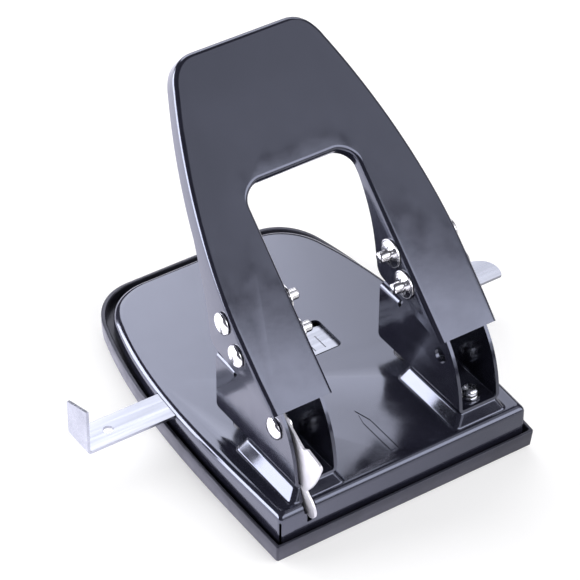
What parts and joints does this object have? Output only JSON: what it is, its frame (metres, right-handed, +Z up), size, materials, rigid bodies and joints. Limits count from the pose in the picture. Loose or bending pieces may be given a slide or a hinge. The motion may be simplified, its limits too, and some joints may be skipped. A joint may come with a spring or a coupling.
{
  "type": "hole punch",
  "caption": "Heavy duty lever hole punch for paper: sloping pressed steel deck on a chip tray, forked handle over two sprung punches, locking latch and sliding paper guide.",
  "frame": {"origin": "on the table, under the middle of the whole punch; the plane midway between the two punches is 1.8 mm to the -X side of it", "axes": "+X along the line of the two punched holes, with the latch on the -X side; -Y the hinge side and +Y the side the paper comes in from; +Z up"},
  "size_m": [0.21, 0.1676, 0.1516],
  "materials": {
    "black_paint": "smooth gloss black stove enamel",
    "tray_plastic": "satin moulded black plastic",
    "foot_rubber": "matt black rubber",
    "guide_plate": "bright plated strip with fine lengthwise grain",
    "tool_steel": "ground and hardened steel",
    "spring_steel": "drawn spring wire",
    "zinc_steel": "dull zinc plate",
    "nickel": "bright nickel plate with fine handling marks"
  },
  "bodies": {
    "deck": {"base_pan": "black_paint", "bracket_left": "black_paint", "bracket_right": "black_paint", "die_left": "tool_steel", "die_right": "tool_steel", "punch_guide_left": "tool_steel", "punch_guide_right": "tool_steel", "return_spring_left": "spring_steel", "return_spring_right": "spring_steel", "screw_left_front": "nickel", "washer_left_front": "nickel", "nut_left_front": "zinc_steel", "screw_left_rear": "nickel", "washer_left_rear": "nickel", "nut_left_rear": "zinc_steel", "screw_right_front": "nickel", "washer_right_front": "nickel", "nut_right_front": "zinc_steel", "screw_right_rear": "nickel", "washer_right_rear": "nickel", "nut_right_rear": "zinc_steel", "latch_rivet": "nickel", "latch_washer": "nickel", "guide_clip_left": "zinc_steel", "guide_clip_right": "zinc_steel"},
    "tray": {"chip_tray": "tray_plastic", "foot_front_left": "foot_rubber", "foot_front_right": "foot_rubber", "foot_rear_left": "foot_rubber", "foot_rear_right": "foot_rubber"},
    "handle": {"handle": "black_paint", "pivot_pin_left": "nickel", "driver_pin_left": "nickel", "pivot_pin_right": "nickel", "driver_pin_right": "nickel", "push_nut_pivot_left": "nickel", "push_nut_driver_left": "nickel", "push_nut_pivot_right": "nickel", "push_nut_driver_right": "nickel"},
    "left_punch": {"punch_left": "tool_steel"},
    "right_punch": {"punch_right": "tool_steel"},
    "latch": {"latch": "nickel"},
    "paper_guide": {"paper_guide": "guide_plate"}
  },
  "joints": [
    {"name": "tray_pull", "type": "slide", "parent": "deck", "child": "tray", "axis": [0, 0, -1], "range_m": [0, 0.03]},
    {"name": "handle_press", "type": "hinge", "parent": "deck", "child": "handle", "pos_m": [-0.0018, -0.03327, 0.07206], "axis": [-1, 0, 0], "range_deg": [0, 50], "stiffness_Nm_per_rad": 1, "springref_deg": -34.38},
    {"name": "left_punch_stroke", "type": "slide", "parent": "deck", "child": "left_punch", "axis": [0, -0.0593, -0.9982], "range_m": [0, 0.011], "deforming": ["return_spring_left"]},
    {"name": "right_punch_stroke", "type": "slide", "parent": "deck", "child": "right_punch", "axis": [0, -0.0593, -0.9982], "range_m": [0, 0.011], "deforming": ["return_spring_right"]},
    {"name": "latch_turn", "type": "hinge", "parent": "deck", "child": "latch", "pos_m": [-0.0483, -0.0551, 0.04861], "axis": [1, 0, 0], "range_deg": [0, 5]},
    {"name": "guide_slide", "type": "slide", "parent": "deck", "child": "paper_guide", "axis": [1, 0, 0], "range_m": [-0.03, 0.034]}
  ],
  "couplings": [
    {"joint": "left_punch_stroke", "follows": "handle_press", "m_per_rad": 0.0125},
    {"joint": "right_punch_stroke", "follows": "handle_press", "m_per_rad": 0.0125}
  ]
}
